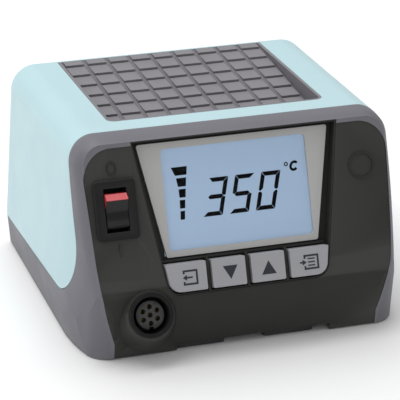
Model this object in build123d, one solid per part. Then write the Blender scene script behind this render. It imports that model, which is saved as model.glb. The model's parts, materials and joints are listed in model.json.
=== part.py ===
from build123d import *
import os
from math import sin, cos, tan, radians

# A bench soldering station: a grey base with an arched front, a pale cover over its back,
# a dark sloping front panel with a display, four keys, a rocker switch and a tool socket,
# and a mains inlet at the back. Millimetres, +Z up, the front faces -Y.
# The origin is on the bench, under the middle of the whole station.

# ---- driving dimensions -------------------------------------------------------------
CASE_HALF_WIDTH = 77.1      # at the widest level of the sides
WIDEST_Z = 16.0             # height of that level
UPPER_DRAFT = 3.3           # degrees, sides lean in above it
LOWER_DRAFT = 5.0           # degrees, sides lean in below it
SIDE_ARC_R = 90.0           # the sides curve in towards the front
SIDE_ARC_Y = -31.5          # where that curve starts
REAR_Y = 72.3               # back face
BOTTOM_Z = 0.6              # edge of the skirt, clear of the bench
FLOOR_Z = 2.2               # underside of the floor, inside the skirt
FLOOR_TOP_Z = 4.4
WALL = 2.4
RIM_R = 12.0                # rounding of the top and arch edges
REAR_R = 2.6                # rounding of the back edges

FACE_TILT = 20.71           # degrees that the front leans back
FACE_FOOT_Y = -75.31        # where the display plane meets the bench
PANEL_PROUD = 4.5           # front panel surface, in front of the display plane
ARCH_PROUD = 8.0            # plane that the arch would fill if its edge weren't cut
SKIRT_LEAN = 7.7            # degrees that the foot of the front leans out going up
SKIRT_FOOT_Y = -65.3
BELLY_R = 34.0              # rounding between the skirt and the sloping front
CORNER_R = 12.2             # plan rounding of the two front corners of the skirt
CORNER_X = 60.5
TOP_SLOPE = 2.1             # degrees that the top falls to the back
TOP_FRONT_Y = -32.0
TOP_FRONT_Z = 94.6

PANEL_T = 2.7
PANEL_TOP_Z = 92.1
PANEL_CORNER_R = 13.0
SEAM_GAP = 0.25

SWITCH_X, SWITCH_V = -57.1, 70.0
SOCKET_X, SOCKET_V = -46.4, 22.7
SOCKET_BORE_R = 8.1
KEY_TOP_V, KEY_FOOT_V = 43.6, 30.9
KEY_PROUD = 5.6
KEY_TRAVEL_ROOM = 1.1       # stem tip to switch plunger, more than the key's travel

INLET_X, INLET_Z = 36.0, 42.0
BONDING_X, BONDING_Z = -40.0, 34.0

tilt = radians(FACE_TILT)
FACE = Plane(origin=(0, FACE_FOOT_Y, 0), x_dir=(1, 0, 0), z_dir=(0, -cos(tilt), sin(tilt)))
slope = radians(TOP_SLOPE)
TOP = Plane(origin=(0, TOP_FRONT_Y, TOP_FRONT_Z), x_dir=(1, 0, 0),
            z_dir=(0, sin(slope), cos(slope)))
BACK = Plane(origin=(0, REAR_Y, 0), x_dir=(-1, 0, 0), z_dir=(0, 1, 0))

parts = {}


# ---- small helpers ------------------------------------------------------------------
def face_at(x, v, out=0.0):
    """Location on the display plane: x across, v up the slope, out towards the user."""
    return FACE.location * Pos(x, v, out)


def back_at(x, z, out=0.0):
    """Location on the back face: x and z as in the station, out towards the rear."""
    return BACK.location * Pos(-x, z, out)


def plate(where, width, height, thickness, corner=0.0):
    """A plate that grows from where along its +Z."""
    outline = RectangleRounded(width, height, corner) if corner else Rectangle(width, height)
    return extrude(where * outline, amount=thickness)


def rod(where, radius, length):
    """A round bar that grows from where along its +Z."""
    return where * Cylinder(radius, length, align=(Align.CENTER, Align.CENTER, Align.MIN))


def tube(where, outer, inner, length):
    return rod(where, outer, length) - rod(where * Pos(0, 0, -1), inner, length + 2)


def side_prism(points, half=120.0):
    """A prism across the whole width from a closed outline of (y, z) points."""
    outline = make_face(Polyline(*[(0, y, z) for y, z in points], close=True))
    return extrude(outline, amount=half, both=True)


def group(solids):
    return Compound(children=list(solids))


def screw(where, radius, length, head_radius, head_height):
    """A pan-head screw: the head sits on where and the shank goes down its -Z."""
    head = rod(where, head_radius, head_height)
    shank = rod(where * Pos(0, 0, -length), radius, length)
    slot_a = where * Pos(0, 0, head_height) * Box(head_radius, 0.5, 0.9)
    slot_b = where * Pos(0, 0, head_height) * Box(0.5, head_radius, 0.9)
    return head + shank - slot_a - slot_b


# ---- outer form of the case ---------------------------------------------------------
def plan_outline(inset, rear, rear_corner):
    """Plan of the case at one level: straight sides that curve in towards the front."""
    half = CASE_HALF_WIDTH - inset
    arc_centre = (CASE_HALF_WIDTH - SIDE_ARC_R, SIDE_ARC_Y)
    sweep = 34.0
    arc = CenterArc(arc_centre, SIDE_ARC_R - inset, 0, -sweep)
    tip = arc @ 1
    right = [Line((0, rear), (half, rear)), Line((half, rear), (half, SIDE_ARC_Y)), arc,
             Line(tip, (0, tip.Y))]
    half_outline = Curve() + right
    outline = make_face(half_outline + mirror(half_outline, Plane.YZ)).face()
    if rear_corner:
        corners = [v for v in outline.vertices() if v.Y > rear - 1 and abs(v.X) > half - 1]
        outline = fillet(corners, rear_corner)
    return outline


def drafted(inset, low, high, draft, rear=REAR_Y + 20, rear_corner=0.0):
    """The plan carried up from low to high, leaning in by draft, true to size at WIDEST_Z."""
    levels = [Pos(0, 0, z) * plan_outline(inset + (z - WIDEST_Z) * tan(radians(draft)),
                                          rear, rear_corner)
              for z in (low, high)]
    return loft(levels, ruled=True)


def front_point(z, out):
    """Y of the tilted plane that lies out in front of the display plane, at height z."""
    v = (z - out * sin(tilt)) / cos(tilt)
    return FACE_FOOT_Y + v * sin(tilt) - out * cos(tilt)


def skirt_plan():
    """Plan of the foot of the front: a rounded corner each side, then sides that spread."""
    spread = 20.0
    corner = CenterArc((CORNER_X, SKIRT_FOOT_Y + CORNER_R), CORNER_R, -90, 90 - spread)
    end = corner @ 1
    rear = REAR_Y + 40
    far_x = end.X + (rear - end.Y) * tan(radians(spread))
    right = [Line((0, SKIRT_FOOT_Y), corner @ 0), corner, Line(end, (far_x, rear)),
             Line((far_x, rear), (0, rear))]
    half_outline = Curve() + right
    return make_face(half_outline + mirror(half_outline, Plane.YZ)).face()


def front_cut(inset):
    """Everything behind the front surface: sloping above, leaning back in below, a belly between."""
    lean = tan(radians(SKIRT_LEAN))
    out = PANEL_PROUD - inset
    foot_y = SKIRT_FOOT_Y + inset / cos(radians(SKIRT_LEAN))
    kink_z = (foot_y + lean * BOTTOM_Z - front_point(0, out)) / (tan(tilt) + lean)
    bottom, top, rear = -10.0, 110.0, REAR_Y + 40
    points = [(0, front_point(top, out), top), (0, front_point(kink_z, out), kink_z),
              (0, foot_y + lean * (BOTTOM_Z - bottom), bottom), (0, rear, bottom),
              (0, rear, top)]
    outline = make_face(Polyline(*points, close=True))
    kink = outline.vertices().sort_by_distance(points[1])[0]
    outline = fillet(kink, BELLY_R)
    return extrude(outline, amount=120, both=True)


def envelope(inset, floor=BOTTOM_Z):
    """The whole outer form, or the same form shrunk by inset for its inside."""
    low, high = -10.0, 110.0
    out = ARCH_PROUD - inset
    rear = REAR_Y - inset
    fall = tan(slope)
    roof_z = TOP_FRONT_Z - inset / cos(slope)
    apex_z = ((roof_z - (front_point(0, out) - TOP_FRONT_Y) * fall) / (1 + tan(tilt) * fall))
    block = side_prism([(front_point(low, out), low), (front_point(apex_z, out), apex_z),
                        (rear, roof_z - (rear - TOP_FRONT_Y) * fall), (rear, low)])
    form = (drafted(inset, low, high, UPPER_DRAFT) & block).solids()[0]

    def lies_on(edge, plane):
        return all(abs(plane.to_local_coords(edge @ t).Z) < 1e-3 for t in (0.1, 0.5, 0.9))

    rear_plane = Plane(origin=(0, rear, 0), z_dir=(0, 1, 0))
    rim_planes = (FACE.offset(out), TOP.offset(-inset))
    rim = [edge for edge in form.edges()
           if not lies_on(edge, rear_plane) and any(lies_on(edge, p) for p in rim_planes)
           and (abs((edge @ 0.5).X) > 1 or (edge @ 0.5).Z > WIDEST_Z)]
    form = form.fillet(RIM_R - inset, rim)
    rear_rim = [edge for edge in form.edges()
                if lies_on(edge, rear_plane) and (edge @ 0.5).Z > low + 1]
    form = form.fillet(max(REAR_R - inset, 0.4), rear_rim)
    low_corner = REAR_R - inset if inset < 1 else 0.0
    form = form & drafted(inset, floor, high, -LOWER_DRAFT, rear, low_corner)
    lean = Vector(0, -tan(radians(SKIRT_LEAN)), 1)
    skirt = extrude(Pos(0, inset, 0) * skirt_plan(), amount=130, dir=lean)
    return (form & skirt & front_cut(inset)).solids()[0]


# ---- zones that divide the case between its mouldings -------------------------------
def cover_zone(shift=0.0):
    """Behind and above the seam: level at the sides, then up parallel to the sloping front."""
    seam_rear_z, seam_front_z, turn_y, turn_r = 14.4, 19.9, -12.0, 24.0
    rise = (seam_front_z - seam_rear_z) / (REAR_Y - turn_y)
    up_y, up_z = -43.0, 66.0
    low_z = (seam_front_z + rise * (turn_y - up_y + up_z * tan(tilt))) / (1 + rise * tan(tilt))
    corner = (0, up_y + (low_z - up_z) * tan(tilt), low_z)
    far = 130.0
    points = [corner, (0, up_y + (far - up_z) * tan(tilt), far), (0, far, far),
              (0, far, seam_front_z - rise * (far - turn_y))]
    outline = make_face(Polyline(*points, close=True))
    outline = fillet(outline.vertices().sort_by_distance(corner)[0], turn_r)
    return extrude(Pos(0, shift, shift) * outline, amount=120, both=True)


def panel_zone():
    """The dark front panel seen from the front, narrower at its foot, carried along Y."""
    foot_x, foot_z = 61.3, 8.0
    belly_x, belly_z = 68.6, 50.0
    shoulder_x = 70.6
    right = [Line((0, -5), (foot_x, -5)), Line((foot_x, -5), (foot_x, foot_z)),
             ThreePointArc((foot_x, foot_z), (66.2, 28.0), (belly_x, belly_z)),
             Line((belly_x, belly_z), (shoulder_x, PANEL_TOP_Z)),
             Line((shoulder_x, PANEL_TOP_Z), (0, PANEL_TOP_Z))]
    half_outline = Curve() + right
    outline = make_face(half_outline + mirror(half_outline, Plane.YZ)).face()
    shoulders = [v for v in outline.vertices() if v.Z < 1 and v.Y > PANEL_TOP_Z - 1 and abs(v.X) > 60]
    outline = fillet(shoulders, PANEL_CORNER_R)
    upright = Plane(origin=(0, 0, 0), x_dir=(1, 0, 0), z_dir=(0, -1, 0))
    return extrude(upright * outline, amount=110)


def recess_outline(grow=0.0):
    """Outline of the display and key recess on the display plane."""
    top_v, foot_v, top_x, foot_x, corner = 98.4, 29.3, 47.65, 36.9, 6.5
    outline = make_face(Polyline((-top_x, top_v), (top_x, top_v), (foot_x, foot_v),
                                 (-foot_x, foot_v), close=True))
    corners = [v for v in outline.vertices() if v.Y < foot_v + 1]
    outline = fillet(corners, corner)
    return offset(outline, grow, kind=Kind.INTERSECTION) if grow else outline


# ---- housing ------------------------------------------------------------------------
REAR_OPENING = (128.0, 60.0, 6.0)           # width, height, corner of the opening in the back
REAR_OPENING_Z = 50.0
MAT_HALF_WIDTH, MAT_FRONT, MAT_LENGTH = 50.9, 11.5, 89.5
MAT_POCKET = 2.0            # depth of its pocket at the back
MAT_FALL = 5.5              # degrees that the pocket floor falls to the front, under the top
FOOT_X, FOOT_Y, FOOT_FRONT_Y, FOOT_R = 60.0, 56.0, -40.0, 6.5
SCREW_PLACES = [(x, y) for x in (-66.0, 66.0) for y in (-18.0, 40.0)]


def mat_outline(grow=0.0):
    """Plan of the stacking mat on the sloping top, with rounded front corners."""
    half = MAT_HALF_WIDTH + grow
    outline = TOP.location * Pos(0, MAT_FRONT + MAT_LENGTH / 2) * Rectangle(
        2 * half, MAT_LENGTH + 2 * grow)
    fronts = outline.vertices().sort_by(Axis.Y)[0:2]
    return fillet(fronts, 4.0 + grow)


def above_mat_plane(depth):
    """Everything above a plane that lies depth under the top at the back and falls to the front."""
    rear = MAT_FRONT + MAT_LENGTH
    reach, high = 30.0, 20.0

    def level(y):
        return -depth - (rear - y) * tan(radians(MAT_FALL))

    side = Plane(origin=(-80, 0, 0), x_dir=(0, 1, 0), z_dir=(1, 0, 0))
    outline = make_face(Polyline((-reach, level(-reach)), (rear + reach, level(rear + reach)),
                                 (rear + reach, high), (-reach, high), close=True))
    return TOP.location * extrude(side * outline, amount=160)


def mat_space(grow, depth):
    """The space over the mat's outline down to the sloping plane at depth."""
    return extrude(mat_outline(grow), amount=25, both=True) & above_mat_plane(depth)


def housing(outer, inner):
    """Base shell, top cover and front panel, cut from the two nested outer forms."""
    shell = outer - inner
    zone = panel_zone()
    front_depth = PANEL_T + 0.35
    front_only = Pos(0, -60, 0) * Box(200, 90, 240) - front_cut(front_depth)

    base = shell - cover_zone() - (zone & front_only)
    under = envelope(3.4) & Pos(0, 0, FLOOR_Z - 10) * Box(300, 300, 20)
    base = base - under

    cover = shell & cover_zone(SEAM_GAP)
    tray_t = 2.2
    cover = cover + (mat_space(WALL, MAT_POCKET + tray_t) & outer)
    cover = cover - mat_space(0.0, MAT_POCKET)

    width, height, corner = REAR_OPENING
    opening = back_at(0, REAR_OPENING_Z, -8)
    rear_cut = plate(opening, width, height, 20, corner)
    cover = cover - rear_cut

    skin = envelope(0.35) - envelope(front_depth)
    panel = (skin & zone & front_only)
    return base, cover, panel


def front_openings():
    """What the display recess, the switch and the tool socket need cut from the front."""
    recess = extrude(face_at(0, 0, -8) * recess_outline(0.05), amount=30)
    switch = plate(face_at(SWITCH_X, SWITCH_V, -12), 16.8, 24.4, 40, 1.2)
    return recess, switch


def socket_boss():
    """The cone on the front panel that carries the tool socket."""
    cone = face_at(SOCKET_X, SOCKET_V, -7) * Cone(
        16.4, 10.4, 12.2, align=(Align.CENTER, Align.CENTER, Align.MIN))
    return cone


def skirt_notch():
    """A shallow notch under the middle of the front edge."""
    return Pos(3.5, SKIRT_FOOT_Y, 0) * Box(72, 24, 7.4)


def rear_panel():
    width, height, corner = REAR_OPENING
    panel = plate(back_at(0, REAR_OPENING_Z, -2.6), width - 0.4, height - 0.4, 2.2, corner)
    panel = panel - plate(back_at(INLET_X, INLET_Z, -6), 30.6, 36.6, 12, 1.5)
    panel = panel - rod(back_at(BONDING_X, BONDING_Z, -6), 4.05, 12)
    slots, slot_pitch, slot_z = 9, 7.0, 62.0
    for column in range(slots):
        panel = panel - plate(back_at(-54 + slot_pitch * column, slot_z, -6), 3.0, 20.0, 12, 1.4)
    for x in (-20.0, 20.0):
        panel = panel - rod(back_at(INLET_X + x, INLET_Z, -6), 1.7, 12)
    return panel


def stacking_mat():
    """Ribbed mat with a rim on three sides; its floor steps down to the front in rows of wedges."""
    base_t, front_h, back_h = 1.5, 1.15, 0.2
    columns, rows = 9, 8
    rim, gap_x, gap_y, first_row = 1.5, 2.2, 0.4, 6.9
    hollow = mat_space(-rim, MAT_POCKET - base_t)
    past_back = Pos(0, rim + 1, 0) * extrude(mat_outline(-rim), amount=25, both=True)
    hollow = hollow + (past_back & above_mat_plane(MAT_POCKET - base_t))
    mat = (mat_space(-0.1, MAT_POCKET) & TOP.location * Pos(0, 0, -50) * Box(300, 300, 100)) - hollow
    pitch_x = (2 * MAT_HALF_WIDTH - 2 * rim) / columns
    pitch_y = ((MAT_LENGTH - first_row) / cos(radians(MAT_FALL)) - rim) / (rows - 1)
    tile_x, tile_y = pitch_x - gap_x, pitch_y - gap_y
    rear_edge = Pos(0, MAT_FRONT + MAT_LENGTH, base_t - MAT_POCKET) * Rotation(MAT_FALL, 0, 0)
    rear_edge = rear_edge * Pos(0, pitch_y - first_row, 0)
    side = Plane(origin=(-tile_x / 2, 0, 0), x_dir=(0, 1, 0), z_dir=(1, 0, 0))
    foot = -0.3
    profile = make_face(Polyline((-tile_y, foot), (-tile_y, front_h), (0, back_h), (0, foot), close=True))
    wedge = extrude(side * profile, amount=tile_x)
    wedges = []
    for column in range(columns):
        for row in range(rows):
            x = -MAT_HALF_WIDTH + rim + pitch_x * (column + 0.5)
            wedges.append(TOP.location * rear_edge * Pos(x, -pitch_y * row, 0) * wedge)
    behind = back_at(0, 100, MAT_FRONT + MAT_LENGTH + TOP_FRONT_Y - REAR_Y - 0.2)
    return (mat + wedges) - plate(behind, 300, 60, 20)


def feet():
    """Two skids behind the notch in the front edge and four round pads."""
    skids = []
    for x in (-21.0, 21.0):
        pad = Pos(x, -57.8, FLOOR_Z / 2) * Box(24, 9, FLOOR_Z)
        skids.append(fillet(pad.edges().filter_by(Axis.Z), 2.0))
    parts["front_skids"] = group(skids)
    pads = []
    for x in (-FOOT_X, FOOT_X):
        for y in (FOOT_FRONT_Y, FOOT_Y):
            pad = rod(Pos(x, y, 0), FOOT_R, FLOOR_Z)
            pads.append(chamfer(pad.edges().sort_by(Axis.Z)[0], 0.5))
    parts["round_feet"] = group(pads)


def case_screws():
    """Four screws up through the floor into posts in the cover."""
    flip = Rotation(180, 0, 0)
    return [screw(Pos(x, y, FLOOR_Z) * flip, 1.4, 14.0, 2.8, 1.4) for x, y in SCREW_PLACES]


def cover_posts(inner):
    """Posts under the cover that take the case screws, each held to the side by a web."""
    post_h, web_z, web_h = 27.0, 27.0, 8.0
    posts = []
    for x, y in SCREW_PLACES:
        post = tube(Pos(x, y, FLOOR_TOP_Z), 3.6, 1.45, post_h)
        web = Pos(x * 1.1, y, web_z) * Box(10.0, 2.0, web_h)
        posts.append(post + (web & inner))
    return posts


# ---- display and keys ---------------------------------------------------------------
WINDOW_HALF, WINDOW_LOW, WINDOW_HIGH = 33.5, 48.8, 93.6
WINDOW_CORNER = 2.0
WINDOW_V = (WINDOW_LOW + WINDOW_HIGH) / 2
CARRIER_BACK, CARRIER_FLOOR = -3.2, -1.6
BOARD_BACK, BOARD_FRONT = -10.2, -8.6
KEY_STEM = 4.0


def key_outline(which):
    """Front view of a key; which runs 0 to 3 from left to right."""
    inner_near, inner_far = 1.33, 16.85
    outer_near, outer_far_top, outer_far_foot = 19.4, 37.9, 36.0
    if which in (1, 2):
        shape = make_face(Polyline((inner_near, KEY_FOOT_V), (inner_far, KEY_FOOT_V),
                                   (inner_far, KEY_TOP_V), (inner_near, KEY_TOP_V), close=True))
        shape = fillet(shape.vertices(), 0.7)
    else:
        shape = make_face(Polyline((outer_near, KEY_FOOT_V), (outer_far_foot, KEY_FOOT_V),
                                   (outer_far_top, KEY_TOP_V), (outer_near, KEY_TOP_V), close=True))
        big = shape.vertices().sort_by_distance((outer_far_foot, KEY_FOOT_V))[0]
        shape = fillet(big, 5.5)
        sharp = [v for v in shape.vertices() if v.X < outer_near + 1 or v.Y > KEY_TOP_V - 1]
        shape = fillet(sharp, 0.7)
    return mirror(shape, Plane.YZ) if which < 2 else shape


def key_middle(which):
    """Across and up position of the middle of a key's stem."""
    inner, outer = 9.1, 28.2
    x = (-outer, -inner, inner, outer)[which]
    return x, (KEY_TOP_V + KEY_FOOT_V) / 2


def key(which):
    """A key cap with a stem that reaches back towards its switch."""
    cap_back = 0.2
    cap = extrude(face_at(0, 0, cap_back) * key_outline(which), amount=KEY_PROUD - cap_back)
    top = cap.faces().sort_by_distance(face_at(*key_middle(which), 50).position)[0]
    cap = fillet(top.edges(), 0.45)
    x, v = key_middle(which)
    stem_tip = -4.4
    stem = face_at(x, v, (stem_tip + cap_back) / 2) * Box(KEY_STEM, KEY_STEM, cap_back - stem_tip)
    return cap + stem


def display_carrier(skin, inside_room):
    """Dark frame behind the panel: recess walls, key ribs, bosses for the board."""
    floor = extrude(face_at(0, 0, CARRIER_BACK) * recess_outline(-0.05),
                    amount=CARRIER_FLOOR - CARRIER_BACK)
    wall_top = 7.0
    outside = extrude(face_at(0, 0, CARRIER_BACK) * recess_outline(-0.05), amount=wall_top)
    inside = extrude(face_at(0, 0, CARRIER_FLOOR) * recess_outline(-0.7), amount=30)
    wall = (outside - inside) & skin
    flange = extrude(face_at(0, 0, CARRIER_BACK - 1.4) * recess_outline(2.2), amount=1.4) & inside_room
    flange = flange - plate(face_at(0, WINDOW_V + 0.5, -9), 76, 51.5, 12)
    carrier = floor + wall + flange
    carrier = carrier - plate(face_at(0, WINDOW_V, -8), 71.4, 49.2, 12)
    for which in range(4):
        x, v = key_middle(which)
        carrier = carrier - face_at(x, v, -3) * Box(KEY_STEM + 1.2, KEY_STEM + 1.2, 8)
    rib_high = 3.6
    for x in (-18.1, 0.0, 18.1):
        rib = face_at(x, (KEY_TOP_V + KEY_FOOT_V) / 2, (CARRIER_BACK + rib_high) / 2)
        carrier = carrier + rib * Box(1.1, KEY_TOP_V - KEY_FOOT_V + 2.0, rib_high - CARRIER_BACK)
    shelf = face_at(0, 44.85, (CARRIER_BACK + 0.4) / 2)
    carrier = carrier + shelf * Box(76.0, 1.0, 0.4 - CARRIER_BACK)
    for x, v in board_corners():
        boss = tube(face_at(x, v, BOARD_FRONT), 2.4, 0.8, CARRIER_BACK - BOARD_FRONT)
        carrier = carrier + boss
    return carrier


def board_corners():
    return [(x, v) for x in (-38.6, 38.6) for v in (51.0, 91.5)]


def display_bezel():
    """Grey frame round the window, wider at its top than at its foot."""
    top_v, foot_v, top_x, foot_x = 96.6, 46.1, 44.3, 35.1
    outline = make_face(Polyline((-top_x, top_v), (top_x, top_v), (foot_x, foot_v),
                                 (-foot_x, foot_v), close=True))
    outline = fillet(outline.vertices(), 1.0)
    frame = extrude(face_at(0, 0, CARRIER_FLOOR) * outline, amount=-CARRIER_FLOOR)
    opening = plate(face_at(0, WINDOW_V, -5), 2 * WINDOW_HALF, WINDOW_HIGH - WINDOW_LOW, 10, WINDOW_CORNER)
    return frame - opening


def display_stack():
    width, height = 2 * WINDOW_HALF, WINDOW_HIGH - WINDOW_LOW
    window = plate(face_at(0, WINDOW_V, -1.55), width - 0.1, height - 0.1, 1.0, WINDOW_CORNER)
    parts["display_window"] = window
    parts["lcd_glass"] = plate(face_at(0, WINDOW_V, -4.1), 71.0, 48.8, 2.4)
    parts["lcd_backlight"] = plate(face_at(0, WINDOW_V, -7.6), 71.0, 48.8, 3.4)
    board_middle = 65.0
    board = plate(face_at(0, board_middle, BOARD_BACK), 84, 65, BOARD_FRONT - BOARD_BACK, 1.5)
    for x, v in board_corners():
        board = board - rod(face_at(x, v, BOARD_BACK - 1), 1.1, 4)
    parts["display_board"] = board
    back_down = Rotation(180, 0, 0)
    parts["display_board_screws"] = group(
        screw(face_at(x, v, BOARD_BACK) * back_down, 0.75, 4.6, 1.9, 1.0) for x, v in board_corners())
    switches = []
    for which in range(4):
        x, v = key_middle(which)
        body = face_at(x, v, BOARD_FRONT + 1.0) * Box(6, 6, 2.0)
        plunger_tip = -4.4 - KEY_TRAVEL_ROOM
        switches.append(body + rod(face_at(x, v, BOARD_FRONT + 1), 1.6, plunger_tip - BOARD_FRONT - 1))
    parts["key_switches"] = group(switches)
    chip = plate(face_at(-8, 78, BOARD_BACK - 1.6), 12, 12, 1.6)
    parts["display_driver_chip"] = chip
    parts["display_board_connector"] = face_at(20, 70, BOARD_BACK - 2.5) * Box(16, 6, 5)


# ---- rocker switch ------------------------------------------------------------------
ROCKER_TILT = 12.0
ROCKER_PIVOT = 3.0
ROCKER_HALF = 7.8
ROCKER_WIDTH = 9.6
ROCKER_BEVEL = 2.0


def rocker_blank():
    """Side profile of the rocker about its pivot, level: a shallow hollow top, bevelled ends."""
    end_h, middle_h, foot, shoulder_h = 5.4, 3.9, -1.6, 2.6
    brow = ROCKER_HALF - ROCKER_BEVEL
    edges = Curve() + [Line((-brow, end_h), (-ROCKER_HALF, shoulder_h)),
                       Line((-ROCKER_HALF, shoulder_h), (-ROCKER_HALF + 0.5, foot)),
                       Line((-ROCKER_HALF + 0.5, foot), (ROCKER_HALF - 0.5, foot)),
                       Line((ROCKER_HALF - 0.5, foot), (ROCKER_HALF, shoulder_h)),
                       Line((ROCKER_HALF, shoulder_h), (brow, end_h)),
                       ThreePointArc((brow, end_h), (0, middle_h), (-brow, end_h))]
    profile = make_face(edges)
    side = Plane(origin=(-ROCKER_WIDTH / 2, 0, 0), x_dir=(0, 1, 0), z_dir=(1, 0, 0))
    return extrude(side * profile, amount=ROCKER_WIDTH)


def rocker_switch():
    """Housing, rocker and its red flag; the rocker rests with its lower end pressed in."""
    flange_w, flange_h, flange_t = 18.8, 26.2, 1.7
    here = face_at(SWITCH_X, SWITCH_V, PANEL_PROUD)
    body_depth, well_depth = 20.0, 10.0
    flange = plate(here, flange_w, flange_h, flange_t, 1.8)
    flange = chamfer(flange.faces().sort_by(Axis.Y)[0].edges(), 0.45)
    body = plate(here * Pos(0, 0, -body_depth), 16.4, 24.0, body_depth + 0.5, 1.0)
    well = plate(here * Pos(0, 0, -well_depth), ROCKER_WIDTH + 0.8, 19.2, 20)
    here_pivot = face_at(SWITCH_X, SWITCH_V, ROCKER_PIVOT)
    cross = Rotation(0, 90, 0)
    housing_solid = flange + body - well
    housing_solid = housing_solid - rod(here_pivot * cross * Pos(0, 0, -6.6), 1.06, 13.2)
    parts["switch_housing"] = housing_solid
    pin = rod(cross * Pos(0, 0, -6.2), 1.0, 12.4)
    blank = rocker_blank()
    cap_t = 1.3
    cap = blank - Pos(0, -ROCKER_BEVEL / 2, -cap_t) * rocker_blank()
    cap = cap & Pos(0, -10 - ROCKER_BEVEL - 0.2 + ROCKER_HALF, 0) * Box(30, 20, 30)
    low = blank - cap
    flagged = low & Pos(0, 5.6, 0) * Box(30, 8.0, 30)
    settled = here_pivot * Rotation(ROCKER_TILT, 0, 0)
    parts["switch_rocker"] = settled * (cap + (low - flagged) + pin)
    parts["rocker_flag"] = settled * (flagged - pin)
    blades = []
    for dx in (-4.0, 4.0):
        for dv in (-7.0, 7.0):
            blade = here * Pos(dx, dv, -body_depth - 4.0)
            blades.append(blade * Box(0.8, 4.8, 8.0))
    parts["switch_terminals"] = group(blades)


# ---- tool socket --------------------------------------------------------------------
def tool_socket():
    """Round tool socket: a ring and barrel in the boss, an insert with seven contacts."""
    barrel_r, barrel_depth, ring_t = 9.1, 17.0, 1.2
    here = face_at(SOCKET_X, SOCKET_V, 5.2)
    ring = tube(here, 9.9, SOCKET_BORE_R, ring_t)
    ring = fillet(ring.edges().filter_by(GeomType.CIRCLE).sort_by_distance(
        (here * Pos(0, 0, 40)).position)[0:2], 0.5)
    barrel = tube(here * Pos(0, 0, -barrel_depth), barrel_r, SOCKET_BORE_R, barrel_depth)
    parts["socket_ring"] = ring + barrel
    disc = rod(here * Pos(0, 0, -barrel_depth), SOCKET_BORE_R, 4.0)
    post_r, recess = 6.3, 1.6
    post = rod(here * Pos(0, 0, -barrel_depth), post_r, barrel_depth - recess)
    insert = disc + post
    places = [(0.0, 0.0)] + [(3.7 * cos(radians(a)), 3.7 * sin(radians(a)))
                             for a in range(30, 390, 60)]
    contacts = []
    hole_r, contact_drop = 1.15, 3.0
    for x, v in places:
        spot = here * Pos(x, v, -barrel_depth - 3.0)
        insert = insert - rod(here * Pos(x, v, -barrel_depth - 1), hole_r, barrel_depth + 2)
        contacts.append(tube(spot, hole_r, 0.7, barrel_depth - recess - contact_drop))
    keyway = here * Pos(0, -post_r, -4.0)
    insert = insert - keyway * Box(2.2, 2.4, 9.0)
    parts["socket_insert"] = insert
    parts["socket_contacts"] = group(contacts)
    nut = extrude(here * Pos(0, 0, -barrel_depth + 0.2) * RegularPolygon(11.4, 6), amount=2.2)
    parts["socket_nut"] = nut - rod(here * Pos(0, 0, -barrel_depth - 2), barrel_r, 8)


# ---- mains inlet and bonding socket -------------------------------------------------
CAVITY_W, CAVITY_H, CAVITY_DEPTH = 24.4, 16.6, 16.0
INLET_RISE = 5.6            # middle of the cavity above the middle of the inlet
DRAWER_DROP = 12.2          # middle of the fuse drawer below it
INLET_PROUD = 1.6
DRAWER_LIP = 2.73


def inlet_cavity(where, depth):
    """The plug cavity: a rectangle with two corners cut off."""
    w, h, cut = CAVITY_W / 2, CAVITY_H / 2, 5.0
    outline = make_face(Polyline((-w, -h), (w, -h), (w, h - cut), (w - cut, h),
                                 (-w + cut, h), (-w, h - cut), close=True))
    return extrude(where * outline, amount=-depth)


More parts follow.
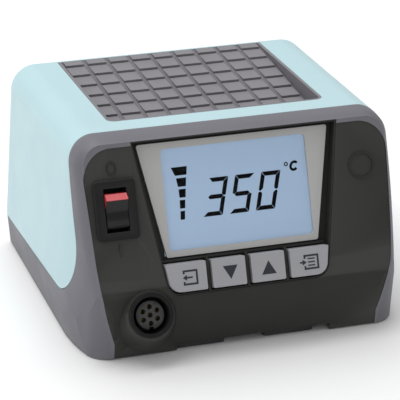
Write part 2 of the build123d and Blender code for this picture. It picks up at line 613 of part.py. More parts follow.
def mains_inlet():
    """Three-pin inlet with a fuse drawer below it, screwed to the rear panel."""
    here = back_at(INLET_X, INLET_Z)
    panel_out = -0.4
    flange = plate(here * Pos(0, 0, panel_out), 50.0, 40.0, INLET_PROUD - panel_out, 3.0)
    body_depth = 24.0
    body = plate(here * Pos(0, 0, -body_depth), 30.0, 36.0, body_depth, 1.2)
    mouth = here * Pos(0, INLET_RISE, INLET_PROUD)
    solid = flange + body - inlet_cavity(mouth, CAVITY_DEPTH)
    drawer = here * Pos(0, -DRAWER_DROP, 0)
    solid = solid - plate(drawer * Pos(0, 0, -17.6), 25.0, 8.6, 30)
    for x in (-20.0, 20.0):
        solid = solid - rod(here * Pos(x, 0, -5), 1.7, 12)
    parts["mains_inlet"] = solid
    pins = []
    for x, z in ((-7.0, -1.0), (7.0, -1.0), (0.0, 3.4)):
        root = mouth * Pos(x, z, -CAVITY_DEPTH - 10.0)
        pin = root * Box(2.0, 4.0, 22.0, align=(Align.CENTER, Align.CENTER, Align.MIN))
        pins.append(chamfer(pin.faces().sort_by(Axis.Y)[-1].edges(), 0.5))
    parts["inlet_pins"] = group(pins)
    for pin in pins:
        parts["mains_inlet"] = parts["mains_inlet"] - pin
    parts["inlet_screws"] = group(screw(here * Pos(x, 0, INLET_PROUD), 1.5, 8.0, 2.9, 1.3)
                                  for x in (-20.0, 20.0))
    parts["inlet_nuts"] = group(
        extrude(here * Pos(x, 0, -4.8) * RegularPolygon(3.0, 6), amount=2.2)
        - rod(here * Pos(x, 0, -6), 1.5, 5) for x in (-20.0, 20.0))
    tray = drawer * Pos(0, 0, -16.0)
    box = plate(tray, 24.4, 8.0, 16.0 + INLET_PROUD)
    lip = plate(drawer * Pos(0, 0, INLET_PROUD), 26.0, 9.4, DRAWER_LIP, 1.0)
    grip = plate(drawer * Pos(0, 0, INLET_PROUD + 1.2), 9.0, 2.4, 3.0, 0.6)
    pocket = drawer * Pos(0, 2.0, -9.5) * Box(21.6, 8.0, 6.6)
    parts["fuse_drawer"] = box + lip - grip - pocket
    along = drawer * Pos(0, 0.6, -9.5) * Rotation(0, 90, 0)
    parts["fuse_tube"] = tube(along * Pos(0, 0, -6.0), 2.4, 1.9, 12.0)
    parts["fuse_caps"] = group([rod(along * Pos(0, 0, -10.0), 2.6, 4.0),
                                rod(along * Pos(0, 0, 6.0), 2.6, 4.0)])


def bonding_socket():
    """Jack for the bonding lead, held by a nut behind the rear panel."""
    here = back_at(BONDING_X, BONDING_Z)
    bushing = rod(here * Pos(0, 0, -14), 4.0, 14) + tube(here * Pos(0, 0, -0.4), 6.0, 1.75, 2.0)
    parts["bonding_socket"] = bushing - rod(here * Pos(0, 0, -12), 1.75, 30)
    nut = extrude(here * Pos(0, 0, -5.0) * RegularPolygon(6.4, 6), amount=2.4)
    parts["bonding_nut"] = nut - rod(here * Pos(0, 0, -8), 4.0, 9)


# ---- power section ------------------------------------------------------------------
CORE_X, CORE_Y = -26.0, 26.0
CORE_W, CORE_H, CORE_STACK = 62.0, 50.0, 24.0
CONNECTOR_XS = (28.0, 48.0)
BOARD_X, BOARD_Y, BOARD_W, BOARD_L, BOARD_Z = 38.0, -6.0, 48.0, 76.0, 12.0


def core_screw_places():
    return [CORE_X + side * (CORE_W / 2 + 5.5) for side in (-1, 1)]


def transformer():
    """Laminated core with two windows, a bobbin and winding on its middle leg, a strap."""
    z = FLOOR_TOP_Z + 2.0
    here = Pos(CORE_X, CORE_Y, z + CORE_H / 2)
    core = here * Box(CORE_W, CORE_STACK, CORE_H)
    window_w, window_h = 11.0, 28.0
    leg = CORE_W / 2 - 2 * window_w
    for side in (-1, 1):
        x = side * (leg + window_w / 2)
        core = core - here * Pos(x, 0, 0) * Box(window_w, 60, window_h)
    parts["transformer_core"] = core
    bobbin_t = 1.2
    tall = window_h - 1.0
    sleeve = Box(2 * leg + 2 * bobbin_t, CORE_STACK + 2 * bobbin_t, tall)
    cheek = Box(2 * leg + 2 * window_w - 1.0, CORE_STACK + 2 * window_w - 3.0, bobbin_t)
    bobbin = sleeve + Pos(0, 0, (tall - bobbin_t) / 2) * cheek
    bobbin = bobbin + Pos(0, 0, -(tall - bobbin_t) / 2) * cheek
    bobbin = bobbin - Box(2 * leg, CORE_STACK, 60)
    parts["transformer_bobbin"] = here * bobbin
    coil_w, coil_y = 2 * leg + 2 * window_w - 3.0, CORE_STACK + 2 * window_w - 6.0
    coil = Box(coil_w, coil_y, tall - 2 * bobbin_t)
    coil = fillet(coil.edges().filter_by(Axis.Z), 5.0)
    parts["transformer_winding"] = here * (coil - sleeve)
    foot_t = 2.0
    plate_w = CORE_W + 18
    strap = Pos(CORE_X, CORE_Y, z - foot_t / 2) * Box(plate_w, 16, foot_t)
    for x in core_screw_places():
        strap = strap - rod(Pos(x, CORE_Y, 0), 1.7, 20)
    parts["transformer_bracket"] = strap
    parts["transformer_screws"] = group(
        screw(Pos(x, CORE_Y, z), 1.5, 3.2, 2.8, 1.3) for x in core_screw_places())


def main_board():
    """Power and control board on four standoffs, with its larger components."""
    here = Pos(BOARD_X, BOARD_Y, BOARD_Z)
    board_t = 1.6
    board = here * Pos(0, 0, board_t / 2) * Box(BOARD_W, BOARD_L, board_t)
    corners = [(BOARD_X + sx * (BOARD_W / 2 - 4), BOARD_Y + sy * (BOARD_L / 2 - 4))
               for sx in (-1, 1) for sy in (-1, 1)]
    for x, y in corners:
        board = board - rod(Pos(x, y, BOARD_Z - 1), 1.6, 4)
    parts["main_board"] = board
    parts["board_standoffs"] = group(
        tube(Pos(x, y, FLOOR_TOP_Z), 3.0, 1.2, BOARD_Z - FLOOR_TOP_Z) for x, y in corners)
    parts["board_screws"] = group(
        screw(Pos(x, y, BOARD_Z + board_t), 1.15, 6.0, 2.6, 1.2) for x, y in corners)
    top = BOARD_Z + board_t

    def standing(x, y, radius, height):
        can = rod(Pos(BOARD_X + x, BOARD_Y + y, top), radius, height)
        return chamfer(can.edges().sort_by(Axis.Z)[-1], 0.6)

    parts["capacitors"] = group([standing(-16, 20, 6.5, 22), standing(-16, 5, 6.5, 22),
                                 standing(-17, -9, 4.0, 12)])
    sink_y, sink_h, fins = BOARD_Y + 11, 28.0, 6
    sink = Pos(BOARD_X + 12, sink_y, top + sink_h / 2) * Box(3.0, 29, sink_h)
    for step in range(fins):
        fin_y = sink_y + 5.4 * (step - (fins - 1) / 2)
        sink = sink + Pos(BOARD_X + 17, fin_y, top + sink_h / 2) * Box(8.0, 1.6, sink_h)
    parts["heat_sink"] = sink
    tab = Pos(BOARD_X + 8.2, sink_y, top + 12) * Box(4.6, 10, 15)
    legs = [Pos(BOARD_X + 8.2, sink_y + dy, top + 2.3) * Box(0.8, 0.9, 4.6)
            for dy in (-2.5, 0, 2.5)]
    parts["power_switch_device"] = tab + legs
    parts["control_chips"] = group([Pos(BOARD_X - 2, BOARD_Y - 14, top + 1.2) * Box(12, 12, 2.4),
                                    Pos(BOARD_X + 14, BOARD_Y - 14, top + 1.2) * Box(6, 10, 2.4)])
    block = Pos(BOARD_X, BOARD_Y + BOARD_L / 2 - 5, top + 5) * Box(30, 8, 10)
    for step in range(5):
        spot = Pos(BOARD_X - 12 + 6 * step, BOARD_Y + BOARD_L / 2 - 5, top + 7)
        block = block - rod(spot, 1.9, 6)
    parts["terminal_block"] = block
    parts["board_connectors"] = group([
        Pos(x, BOARD_Y - BOARD_L / 2 + 6, top + 4) * Box(12, 6, 8) for x in CONNECTOR_XS])


def lead(points, radius):
    """A wire held inside the case: straight runs joined by tangent arcs."""
    vectors = [Vector(*p) for p in points]
    radii = []
    for before, at, after in zip(vectors, vectors[1:], vectors[2:]):
        turn = (at - before).get_angle(after - at)
        run = min((at - before).length, (after - at).length)
        radii.append(0.45 * run / tan(radians(turn) / 2))
    path = FilletPolyline(*vectors, radius=radii)
    start = Plane(origin=path @ 0, z_dir=path % 0)
    return sweep(start * Circle(radius), path=path)


def leads():
    """Wiring between the inlet, the switch, the transformer, the boards and the socket."""
    plug_y, plug_top, above_plug = BOARD_Y - BOARD_L / 2 + 6, BOARD_Z + 9.7, BOARD_Z + 23
    block_y, block_top = BOARD_Y + BOARD_L / 2 - 5, BOARD_Z + 11.7
    socket_back = face_at(SOCKET_X, SOCKET_V, -15.0).position
    parts["tool_lead"] = lead([socket_back, socket_back + FACE.z_dir * -10, (-20, -32, 32),
                               (6, -33, 38), (CONNECTOR_XS[0], plug_y, above_plug),
                               (CONNECTOR_XS[0], plug_y, plug_top)], 2.2)
    switch_back = face_at(SWITCH_X, SWITCH_V, PANEL_PROUD - 28.2).position
    parts["switch_lead"] = lead([switch_back, switch_back + FACE.z_dir * -9, (-44, -6, 72),
                                 (-10, 0, 72), (26, 10, 60), (44, 22, 42),
                                 (BOARD_X + 6, block_y, block_top)], 1.6)
    parts["inlet_lead"] = lead([(36, 38.0, 46), (36, 29, 45), (36, 26, 35),
                                (BOARD_X, block_y, block_top)], 1.8)
    connector = face_at(20, 70, BOARD_BACK - 5.2).position
    parts["display_ribbon"] = lead([connector, connector + FACE.z_dir * -9, (34, -26, 48),
                                    (CONNECTOR_XS[1], plug_y, above_plug),
                                    (CONNECTOR_XS[1], plug_y, plug_top)], 1.5)
    parts["transformer_lead"] = lead([(-20, 5.9, 38), (-20, -5, 38), (-8, -12, 42), (8, -8, 46),
                                      (22, 8, 44), (30, 24, 36), (BOARD_X - 6, block_y, block_top)], 1.6)


# ---- assembly -----------------------------------------------------------------------
def build():
    outer = envelope(0.0)
    inner = envelope(WALL, FLOOR_TOP_Z)
    base, cover, panel = housing(outer, inner)
    recess, switch = front_openings()
    boss = socket_boss()
    bore = rod(face_at(SOCKET_X, SOCKET_V, -12), 9.15, 40)
    behind = front_cut(PANEL_T + 0.35)
    base = base - recess - switch - skirt_notch() - boss - bore
    for x, y in SCREW_PLACES:
        base = base - rod(Pos(x, y, 0), 1.7, 6)
    for x in core_screw_places():
        base = base - rod(Pos(x, CORE_Y, 3.0), 1.55, 6)
    parts["base_shell"] = base
    parts["top_cover"] = cover + cover_posts(envelope(WALL - 0.2))
    panel = (panel - recess - switch - skirt_notch()) + (boss - behind) - bore
    parts["front_panel"] = panel
    parts["rear_panel"] = rear_panel()
    parts["stacking_mat"] = stacking_mat()
    feet()
    parts["case_screws"] = group(case_screws())
    lip_depth = 4.8
    parts["display_carrier"] = display_carrier(envelope(0.7), envelope(lip_depth))
    parts["display_bezel"] = display_bezel()
    display_stack()
    for which, name in enumerate(("key_exit", "key_down", "key_up", "key_menu")):
        parts[name] = key(which)
    rocker_switch()
    tool_socket()
    mains_inlet()
    bonding_socket()
    transformer()
    main_board()
    leads()


build()
os.makedirs("parts", exist_ok=True)
for name, shape in parts.items():
    export_step(shape, f"parts/{name}.step")
    box = shape.bounding_box()
    print(f"{name:26s} solids {len(shape.solids()):2d}  y {box.min.Y:7.2f} {box.max.Y:7.2f}"
          f"  z {box.min.Z:6.2f} {box.max.Z:6.2f}")
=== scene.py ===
import json
from math import sin, cos, radians

import bpy
import bmesh
from mathutils import Matrix, Vector


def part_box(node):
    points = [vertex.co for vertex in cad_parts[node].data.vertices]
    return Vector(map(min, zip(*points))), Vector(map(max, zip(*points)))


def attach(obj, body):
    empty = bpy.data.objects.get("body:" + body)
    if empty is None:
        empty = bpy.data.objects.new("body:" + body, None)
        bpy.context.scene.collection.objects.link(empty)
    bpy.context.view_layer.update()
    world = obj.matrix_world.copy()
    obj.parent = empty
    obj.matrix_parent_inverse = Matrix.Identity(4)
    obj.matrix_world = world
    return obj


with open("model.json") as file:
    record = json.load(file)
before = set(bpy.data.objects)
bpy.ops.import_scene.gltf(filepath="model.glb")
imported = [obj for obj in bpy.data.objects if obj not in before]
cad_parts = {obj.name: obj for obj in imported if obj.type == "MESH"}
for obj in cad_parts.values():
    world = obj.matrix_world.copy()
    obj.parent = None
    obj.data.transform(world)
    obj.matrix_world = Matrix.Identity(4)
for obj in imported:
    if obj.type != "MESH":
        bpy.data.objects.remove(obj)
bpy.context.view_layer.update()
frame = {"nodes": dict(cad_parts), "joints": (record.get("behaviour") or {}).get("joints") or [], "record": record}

nodes = frame["nodes"]
record = frame["record"]
MM = 0.001

# ---- the sloping front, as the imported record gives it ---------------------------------
key_joint = next(j for j in frame["joints"] if j["name"] == "key_exit_press")
ACROSS = Vector((1, 0, 0))
OUT = -Vector(key_joint["axis"]).normalized()
UP = OUT.cross(ACROSS)
WINDOW_V = 71.2          # height of the window's middle up the display plane, mm
WINDOW_OUT = -1.05       # middle of the window's thickness, mm
low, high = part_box("display_window")
DISPLAY_ORIGIN = (low + high) / 2 - OUT * WINDOW_OUT * MM
PANEL_OUT = 4.5          # surface of the front panel, in front of the display plane
KEY_OUT = 5.6            # face of the keys
LCD_OUT = -1.7           # face of the display glass
KEY_V = 37.0


def on_face(x, v, out):
    """A point in metres from millimetres across, up the slope and out of the display plane."""
    return DISPLAY_ORIGIN + (ACROSS * x + UP * (v - WINDOW_V) + OUT * out) * MM


# ---- flat marks built on the display plane --------------------------------------------
def ribbon(path, width, closed=False):
    """Quads that follow a path of (x, v) points with mitred corners."""
    points = [Vector(p) for p in path]
    count = len(points)
    left, right = [], []
    for i, point in enumerate(points):
        before = points[i - 1] if i or closed else None
        after = points[(i + 1) % count] if i < count - 1 or closed else None
        into = (point - before).normalized() if before is not None else None
        away = (after - point).normalized() if after is not None else None
        into, away = into or away, away or into
        normal = Vector((-(into.y + away.y), into.x + away.x)).normalized()
        stretch = 1 / max(0.4, normal.dot(Vector((-into.y, into.x))))
        left.append(point + normal * width / 2 * stretch)
        right.append(point - normal * width / 2 * stretch)
    spans = count if closed else count - 1
    return [[left[i], left[(i + 1) % count], right[(i + 1) % count], right[i]]
            for i in range(spans)]


def arc(cx, cv, rx, rv, start, end, steps, lean=0.0):
    """Points along an ellipse from start to end degrees, sheared sideways by lean."""
    angles = [radians(start + (end - start) * i / steps) for i in range(steps + 1)]
    return [(cx + rx * cos(a) + lean * rv * sin(a), cv + rv * sin(a)) for a in angles]


def mark(name, polygons, out, height, soften, body, material):
    """Raised marks: each polygon of (x, v) points stands up from out by height."""
    mesh = bpy.data.meshes.new(name)
    build = bmesh.new()
    for polygon in polygons:
        build.faces.new([build.verts.new(on_face(p[0], p[1], out)) for p in polygon])
    bmesh.ops.remove_doubles(build, verts=build.verts, dist=0.01 * MM)
    bmesh.ops.recalc_face_normals(build, faces=build.faces)
    for face in build.faces:
        face.normal_update()
        if face.normal.dot(OUT) < 0:
            face.normal_flip()
    base = list(build.faces)
    raised = bmesh.ops.extrude_face_region(build, geom=base)
    moved = [item for item in raised["geom"] if isinstance(item, bmesh.types.BMVert)]
    bmesh.ops.translate(build, verts=moved, vec=OUT * height * MM)
    bmesh.ops.recalc_face_normals(build, faces=build.faces)
    build.to_mesh(mesh)
    build.free()
    piece = bpy.data.objects.new(name, mesh)
    bpy.context.scene.collection.objects.link(piece)
    if soften:
        bevel = piece.modifiers.new("soft edge", "BEVEL")
        bevel.width = soften * MM
        bevel.segments = 2
        bevel.limit_method = "ANGLE"
    mesh.materials.append(material)
    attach(piece, body)
    return piece


# ---- materials ------------------------------------------------------------------------
def srgb(red, green, blue):
    def linear(value):
        value = value / 255
        return value / 12.92 if value <= 0.04045 else ((value + 0.055) / 1.055) ** 2.4
    return (linear(red), linear(green), linear(blue), 1.0)


def new_material(name):
    material = bpy.data.materials.new(name)
    material.use_nodes = True
    tree = material.node_tree
    shader = tree.nodes["Principled BSDF"]
    return material, tree, shader


def noise(tree, scale, detail=3.0, stretch=None):
    """Noise in the object's own metres, stretched along an axis when asked."""
    where = tree.nodes.new("ShaderNodeTexCoord").outputs["Object"]
    if stretch:
        mapping = tree.nodes.new("ShaderNodeMapping")
        mapping.inputs["Scale"].default_value = stretch
        tree.links.new(where, mapping.inputs["Vector"])
        where = mapping.outputs["Vector"]
    texture = tree.nodes.new("ShaderNodeTexNoise")
    texture.inputs["Scale"].default_value = scale
    texture.inputs["Detail"].default_value = detail
    tree.links.new(where, texture.inputs["Vector"])
    return texture.outputs["Fac"]


def spread(tree, value, low, high, from_low=0.3, from_high=0.7):
    """Maps a value from one range to another."""
    span = tree.nodes.new("ShaderNodeMapRange")
    span.inputs["From Min"].default_value = from_low
    span.inputs["From Max"].default_value = from_high
    span.inputs["To Min"].default_value = low
    span.inputs["To Max"].default_value = high
    tree.links.new(value, span.inputs["Value"])
    return span.outputs["Result"]


def blend_colour(tree, factor, first, second):
    mix = tree.nodes.new("ShaderNodeMix")
    mix.data_type = "RGBA"
    for socket, value in ((mix.inputs[6], first), (mix.inputs[7], second)):
        if isinstance(value, tuple):
            socket.default_value = value
        else:
            tree.links.new(value, socket)
    tree.links.new(factor, mix.inputs[0])
    return mix.outputs[2]


def shade(colour, factor):
    return tuple(min(1.0, c * factor) for c in colour[:3]) + (1.0,)


def worn_edges(tree, colour, amount):
    """Lightens a colour a little along outside edges."""
    geometry = tree.nodes.new("ShaderNodeNewGeometry")
    edge = spread(tree, geometry.outputs["Pointiness"], 0.0, amount, 0.52, 0.62)
    return blend_colour(tree, edge, colour, (0.9, 0.9, 0.9, 1.0))


def bump(tree, shader, height, distance, strength=1.0):
    node = tree.nodes.new("ShaderNodeBump")
    node.inputs["Distance"].default_value = distance
    node.inputs["Strength"].default_value = strength
    tree.links.new(height, node.inputs["Height"])
    tree.links.new(node.outputs["Normal"], shader.inputs["Normal"])


def moulded(name, colour, rough, grain=1800.0, depth=0.03, wear=0.05, mottle=0.05, specular=0.5):
    """Moulded plastic or rubber with a fine spark texture and faint flow marks."""
    material, tree, shader = new_material(name)
    cloud = noise(tree, 22.0, 4.0)
    base = blend_colour(tree, spread(tree, cloud, 0.0, 1.0), shade(colour, 1 - mottle),
                        shade(colour, 1 + mottle))
    speck = spread(tree, noise(tree, grain * 0.6, 2.0), 0.0, 0.35)
    base = blend_colour(tree, speck, base, shade(colour, 1 - 2 * mottle))
    tree.links.new(worn_edges(tree, base, wear), shader.inputs["Base Color"])
    smear = noise(tree, 60.0, 3.0)
    tree.links.new(spread(tree, smear, rough - 0.05, rough + 0.05), shader.inputs["Roughness"])
    shader.inputs["Specular IOR Level"].default_value = specular
    bump(tree, shader, noise(tree, grain, 3.0), depth * MM, 0.8)
    return material


def metal(name, colour, rough, brushed=None, depth=0.01):
    """Plated or plain metal with fine scratches, brushed along one axis when asked."""
    material, tree, shader = new_material(name)
    streak = noise(tree, 400.0, 4.0, brushed or (1, 1, 1))
    base = blend_colour(tree, spread(tree, streak, 0.0, 1.0), shade(colour, 0.82), colour)
    tree.links.new(base, shader.inputs["Base Color"])
    tree.links.new(spread(tree, streak, rough - 0.06, rough + 0.08), shader.inputs["Roughness"])
    shader.inputs["Metallic"].default_value = 1.0
    bump(tree, shader, streak, depth * MM, 0.5)
    return material


def painted(name, colour, rough):
    """Powder coat: a coarse orange-peel over sheet metal."""
    material, tree, shader = new_material(name)
    peel = noise(tree, 900.0, 2.0)
    base = blend_colour(tree, spread(tree, peel, 0.0, 1.0), shade(colour, 0.88), shade(colour, 1.08))
    tree.links.new(worn_edges(tree, base, 0.12), shader.inputs["Base Color"])
    tree.links.new(spread(tree, peel, rough - 0.08, rough + 0.05), shader.inputs["Roughness"])
    bump(tree, shader, peel, 0.06 * MM, 0.7)
    return material


def layered(name, dark, pale, pitch, axis, rough, metallic=0.0):
    """Stacked sheets or turns of wire: fine bands across one axis, each a little different."""
    material, tree, shader = new_material(name)
    where = tree.nodes.new("ShaderNodeTexCoord").outputs["Object"]
    wave = tree.nodes.new("ShaderNodeTexWave")
    wave.bands_direction = axis
    wave.inputs["Scale"].default_value = 0.314 / (pitch * MM)
    wave.inputs["Distortion"].default_value = 0.6
    tree.links.new(where, wave.inputs["Vector"])
    base = blend_colour(tree, wave.outputs["Fac"], dark, pale)
    stain = spread(tree, noise(tree, 90.0, 4.0), 0.0, 0.4)
    tree.links.new(blend_colour(tree, stain, base, shade(dark, 0.8)), shader.inputs["Base Color"])
    shader.inputs["Metallic"].default_value = metallic
    shader.inputs["Roughness"].default_value = rough
    bump(tree, shader, wave.outputs["Fac"], 0.12 * MM, 0.8)
    return material


def clear(name):
    """Clear plastic or glass with faint wiping marks."""
    material, tree, shader = new_material(name)
    shader.inputs["Base Color"].default_value = srgb(60, 66, 74)
    shader.inputs["Alpha"].default_value = 0.03
    tree.links.new(spread(tree, noise(tree, 70.0, 5.0, (1.0, 0.3, 0.3)), 0.04, 0.12),
                   shader.inputs["Roughness"])
    shader.inputs["Specular IOR Level"].default_value = 0.2
    return material


def lcd_face():
    """Grey-blue display with a painted glow: its colour also drives emission, standing in for light, a little
    brighter towards its left end.
    """
    material, tree, shader = new_material("display glass")
    where = tree.nodes.new("ShaderNodeTexCoord").outputs["Object"]
    axes = tree.nodes.new("ShaderNodeSeparateXYZ")
    tree.links.new(where, axes.inputs["Vector"])
    across = spread(tree, axes.outputs["X"], 0.0, 1.0, -0.034, 0.034)
    painted_glow = blend_colour(tree, across, srgb(150, 171, 195), srgb(146, 167, 190))
    grain = spread(tree, noise(tree, 3000.0, 1.0), 0.0, 0.10)
    painted_glow = blend_colour(tree, grain, painted_glow, srgb(128, 148, 172))
    tree.links.new(painted_glow, shader.inputs["Base Color"])
    # painted glow: the display's colour is also its emission colour, so the glass gives light as if lit
    tree.links.new(painted_glow, shader.inputs["Emission Color"])
    shader.inputs["Emission Strength"].default_value = 0.45
    shader.inputs["Roughness"].default_value = 0.6
    shader.inputs["Specular IOR Level"].default_value = 0.1
    return material


MATERIALS = {
    "shell": moulded("base plastic", srgb(106, 105, 112), 0.48, 1500.0, 0.035, 0.04, 0.04, 0.3),
    "cover": moulded("cover plastic", srgb(178, 208, 214), 0.34, 1700.0, 0.012, 0.03, 0.02, 0.3),
    "panel": moulded("panel plastic", srgb(44, 44, 42), 0.52, 1500.0, 0.03, 0.03, 0.05, 0.22),
    "bezel": moulded("bezel plastic", srgb(182, 182, 181), 0.42, 2200.0, 0.010, 0.02, 0.02, 0.3),
    "mat": moulded("mat rubber", srgb(110, 108, 113), 0.66, 1300.0, 0.04, 0.08, 0.05, 0.2),
    "foot": moulded("foot rubber", srgb(38, 38, 40), 0.75, 1200.0, 0.05, 0.04, 0.05, 0.2),
    "key": moulded("key rubber", srgb(160, 160, 164), 0.5, 2200.0, 0.012, 0.06, 0.02, 0.3),
    "window": clear("clear window"),
    "lcd": lcd_face(),
    "backlight": moulded("backlight plastic", srgb(225, 230, 236), 0.3, 2000.0, 0.01),
    "black_plastic": moulded("black plastic", srgb(27, 27, 27), 0.50, 2400.0, 0.012, 0.02, 0.05, 0.15),
    "red_plastic": moulded("red plastic", srgb(200, 46, 56), 0.32, 2400.0, 0.008, 0.03, 0.03),
    "inlet_plastic": moulded("inlet plastic", srgb(30, 30, 31), 0.48, 1800.0, 0.02, 0.05, 0.05, 0.25),
    "rear_plate": painted("rear powder coat", srgb(122, 123, 130), 0.5),
    "board": moulded("board resist", srgb(26, 84, 50), 0.3, 900.0, 0.03, 0.05, 0.12),
    "part_plastic": moulded("natural nylon", srgb(222, 218, 204), 0.42, 2000.0, 0.01),
    "chip": moulded("chip epoxy", srgb(30, 30, 32), 0.55, 3000.0, 0.015),
    "steel": metal("zinc plated steel", srgb(182, 184, 188), 0.32),
    "contact": metal("plated contact", srgb(214, 184, 108), 0.25),
    "nickel": metal("nickel plate", srgb(196, 194, 190), 0.22),
    "lamination": layered("core laminations", srgb(60, 58, 56), srgb(120, 116, 112), 0.5, "Y", 0.45, 0.7),
    "copper": layered("enamelled winding", srgb(120, 58, 24), srgb(206, 122, 66), 0.6, "Z", 0.3, 0.8),
    "aluminium": metal("plain aluminium", srgb(186, 188, 190), 0.36, (1.0, 1.0, 0.1)),
    "fuse_glass": clear("fuse glass"),
    "wire": moulded("wire insulation", srgb(46, 46, 52), 0.45, 1500.0, 0.02),
}
slot_of = {part["node"]: part["material_slot"] for part in record["subparts"]}
for name, piece in nodes.items():
    for material_slot in piece.material_slots:
        material_slot.material = MATERIALS[slot_of[name]]

# ---- display content ------------------------------------------------------------------
DIGIT_W, DIGIT_H, DIGIT_LEAN, STROKE = 9.0, 16.8, 0.26, 1.9
DIGIT_FOOT_V = 61.9
SEGMENTS = {"3": "abgcd", "5": "afgcd", "0": "abcdef"}


def lean(x, v):
    return x + (v - DIGIT_FOOT_V) * DIGIT_LEAN, v


def digit(character, x):
    """Seven-segment digit whose foot starts at x, with pointed bars and a gap at each joint."""
    foot, top = DIGIT_FOOT_V, DIGIT_FOOT_V + DIGIT_H
    middle = (foot + top) / 2
    gap, half = 0.15, STROKE / 2
    left, right = x, x + DIGIT_W
    shapes = {
        "a": [(left + gap, top), (right - gap, top), (right - STROKE, top - STROKE),
              (left + STROKE, top - STROKE)],
        "d": [(left + gap, foot), (right - gap, foot), (right - STROKE, foot + STROKE),
              (left + STROKE, foot + STROKE)],
        "g": [(left + half, middle), (left + STROKE, middle + half), (right - STROKE, middle + half),
              (right - half, middle), (right - STROKE, middle - half), (left + STROKE, middle - half)],
    }
    for key, edge, inward in (("b", right, -1), ("c", right, -1), ("f", left, 1), ("e", left, 1)):
        upper = key in "bf"
        end, mid = (top - gap, middle + gap) if upper else (foot + gap, middle - gap)
        turn = -1 if upper else 1
        shapes[key] = [(edge, end), (edge, mid + (0.3 if upper else -0.3)),
                       (edge + inward * half, mid), (edge + inward * STROKE, mid - turn * half),
                       (edge + inward * STROKE, end + turn * STROKE)]
    return [[lean(*p) for p in shapes[key]] for key in SEGMENTS[character]]


def level_bar():
    """Five blocks that narrow downwards; the top one flares to the left."""
    rows = ((85.1, 81.4, -29.0, -27.4, -21.6, -22.1), (80.2, 76.4, -27.1, -26.5, -22.4, -22.9),
            (75.3, 71.6, -26.4, -26.3, -23.1, -23.5), (70.5, 66.8, -26.4, -26.5, -23.8, -24.2),
            (65.7, 61.9, -26.5, -26.8, -24.4, -24.8))
    return [[(left_top, top), (right_top, top), (right_foot, foot), (left_foot, foot)]
            for top, foot, left_top, left_foot, right_top, right_foot in rows]


lcd_marks = level_bar()
for character, x in (("3", -16.4), ("5", -4.2), ("0", 8.0)):
    lcd_marks += digit(character, x)
lcd_marks += ribbon(arc(27.8, 79.8, 1.6, 1.75, 38, 322, 20, 0.18), 1.15)
lcd_marks += ribbon(arc(24.1, 80.9, 0.72, 0.72, 0, 337.5, 15), 0.5, closed=True)
ink, ink_tree, ink_shader = new_material("display ink")
ink_fade = spread(ink_tree, noise(ink_tree, 900.0, 2.0), 0.0, 1.0)
ink_tree.links.new(blend_colour(ink_tree, ink_fade, srgb(1, 2, 3), srgb(3, 4, 6)),
                   ink_shader.inputs["Base Color"])
ink_shader.inputs["Roughness"].default_value = 0.8
ink_shader.inputs["Specular IOR Level"].default_value = 0.1
mark("lcd_segments", lcd_marks, LCD_OUT - 0.01, 0.05, 0, "station", ink)

# ---- key icons ------------------------------------------------------------------------
ICON_H, ICON_LINE = 6.4, 0.85
MARK_SUNK = 0.4          # how far the moulded marks start below the panel's surface
icon_ink = moulded("icon print", srgb(52, 54, 62), 0.5, 2000.0, 0.006, 0.0, 0.04, 0.2)


def icon(name, body, polygons):
    mark(name, polygons, KEY_OUT - 0.02, 0.09, 0.02, body, icon_ink)


def arrow(tail, tip, v):
    """A short arrow along the key, with a solid head."""
    way = 1 if tip > tail else -1
    neck = tip - way * 1.9
    return [[(tail, v - 0.36), (tail, v + 0.36), (neck, v + 0.36), (neck, v - 0.36)],
            [(neck, v - 1.3), (neck, v + 1.3), (tip, v)]]


half_icon = ICON_H / 2
exit_x, down_x, up_x, menu_x = -27.1, -8.6, 9.1, 28.3
icon("icon_exit", "key_exit_body",
     ribbon([(exit_x - 2.9, KEY_V + 1.7), (exit_x - 2.9, KEY_V + half_icon - 0.3),
             (exit_x + 3.0, KEY_V + half_icon - 0.3), (exit_x + 3.0, KEY_V - half_icon + 0.3),
             (exit_x - 2.9, KEY_V - half_icon + 0.3), (exit_x - 2.9, KEY_V - 1.7)], ICON_LINE)
     + arrow(exit_x + 1.0, exit_x - 3.5, KEY_V))
icon("icon_down", "key_down_body",
     [[(down_x - 3.4, KEY_V + 3.0), (down_x + 3.4, KEY_V + 3.0), (down_x, KEY_V - 3.0)]])
icon("icon_up", "key_up_body",
     [[(up_x - 3.4, KEY_V - 3.0), (up_x + 3.4, KEY_V - 3.0), (up_x, KEY_V + 3.0)]])
menu_lines = [ribbon([(menu_x - 0.9, KEY_V + dv), (menu_x + 2.4, KEY_V + dv)], 0.6)[0]
              for dv in (-1.5, 0.0, 1.5)]
icon("icon_menu", "key_menu_body",
     ribbon([(menu_x - 2.3, KEY_V + 1.6), (menu_x - 2.3, KEY_V + half_icon - 0.3),
             (menu_x + 3.8, KEY_V + half_icon - 0.3), (menu_x + 3.8, KEY_V - half_icon + 0.3),
             (menu_x - 2.3, KEY_V - half_icon + 0.3), (menu_x - 2.3, KEY_V - 1.6)], ICON_LINE)
     + menu_lines + arrow(menu_x - 4.6, menu_x - 1.5, KEY_V))

# ---- marks moulded on the panel -------------------------------------------------------
panel_plastic = MATERIALS["panel"]
mark("mark_off", ribbon(arc(-57.3, 88.0, 1.9, 2.7, 0, 352.5, 47), 0.6, closed=True),
     PANEL_OUT - MARK_SUNK, 0.6, 0.12, "station", panel_plastic)
mark("mark_on", ribbon([(-56.8, 49.6), (-56.8, 55.0)], 0.7),
     PANEL_OUT - MARK_SUNK, 0.6, 0.12, "station", panel_plastic)
mark("panel_ring", ribbon(arc(57.3, 77.0, 5.6, 5.6, 0, 355, 71), 0.8, closed=True),
     PANEL_OUT - MARK_SUNK, 0.7, 0.15, "station", panel_plastic)

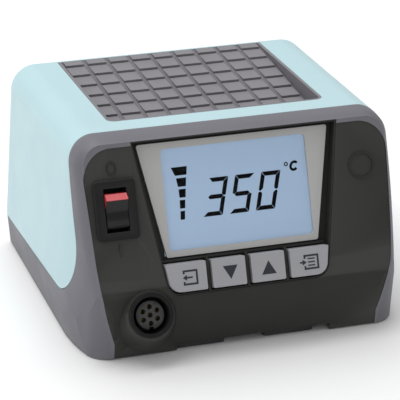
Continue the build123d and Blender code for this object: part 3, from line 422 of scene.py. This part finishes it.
# ---- camera, floor and light ----------------------------------------------------------
AZIMUTH, ELEVATION, ROLL = radians(-17.89), radians(23.44), radians(0.46)
CAMERA_PLACE = (-0.3011, -0.9289, 0.4653)
SENSOR_WIDTH, FOCAL_LENGTH = 36, 206.4
FLOOR_REACH = 5.0
WHITE = (1, 1, 1, 1)
back = Vector((sin(AZIMUTH) * cos(ELEVATION), -cos(AZIMUTH) * cos(ELEVATION), sin(ELEVATION)))
level_x = Vector((0, 0, 1)).cross(back).normalized()
level_y = back.cross(level_x)
right_way = level_x * cos(ROLL) + level_y * sin(ROLL)
up_way = level_y * cos(ROLL) - level_x * sin(ROLL)
camera_data = bpy.data.cameras.new("camera")
camera_data.sensor_width = SENSOR_WIDTH
camera_data.lens = FOCAL_LENGTH
camera = bpy.data.objects.new("camera", camera_data)
rotation = Matrix((right_way, up_way, back)).transposed()
camera.matrix_world = Matrix.Translation(CAMERA_PLACE) @ rotation.to_4x4()
bpy.context.scene.collection.objects.link(camera)
bpy.context.scene.camera = camera

floor_mesh = bpy.data.meshes.new("floor")
floor_corners = [(x * FLOOR_REACH, y * FLOOR_REACH, 0)
                 for x, y in ((-1, -1), (1, -1), (1, 1), (-1, 1))]
floor_mesh.from_pydata(floor_corners, [], [(0, 1, 2, 3)])
floor = bpy.data.objects.new("floor", floor_mesh)
bpy.context.scene.collection.objects.link(floor)
floor_material, floor_tree, floor_shader = new_material("pale floor")
floor_shader.inputs["Base Color"].default_value = (0.9, 0.9, 0.9, 1)
floor_shader.inputs["Roughness"].default_value = 0.6
floor_mesh.materials.append(floor_material)

world = bpy.data.worlds.new("studio")
world.use_nodes = True
sky = world.node_tree
toward = sky.nodes.new("ShaderNodeTexCoord").outputs["Generated"]
sides = sky.nodes.new("ShaderNodeSeparateXYZ")
sky.links.new(toward, sides.inputs["Vector"])
dimmer = spread(sky, sides.outputs["X"], 0.72, 0.55, -0.6, 0.5)
sky.links.new(dimmer, sky.nodes["Background"].inputs["Strength"])
sky.nodes["Background"].inputs["Color"].default_value = WHITE
bpy.context.scene.world = world
bpy.context.scene.view_settings.view_transform = "Standard"


def softbox(name, place, size, power):
    """Rectangular lamp aimed at the lower middle of the station."""
    data = bpy.data.lights.new(name, "AREA")
    data.shape = "RECTANGLE"
    data.size, data.size_y = size
    data.energy = power
    lamp = bpy.data.objects.new(name, data)
    lamp.location = place
    aim = Vector((0, 0, 0.05)) - Vector(place)
    lamp.rotation_euler = aim.to_track_quat("-Z", "Y").to_euler()
    bpy.context.scene.collection.objects.link(lamp)


softbox("top light", (-0.3, 0.5, 1.5), (1.6, 1.3), 19)
softbox("left light", (-1.6, 0.1, 0.7), (1.0, 0.9), 1.5)
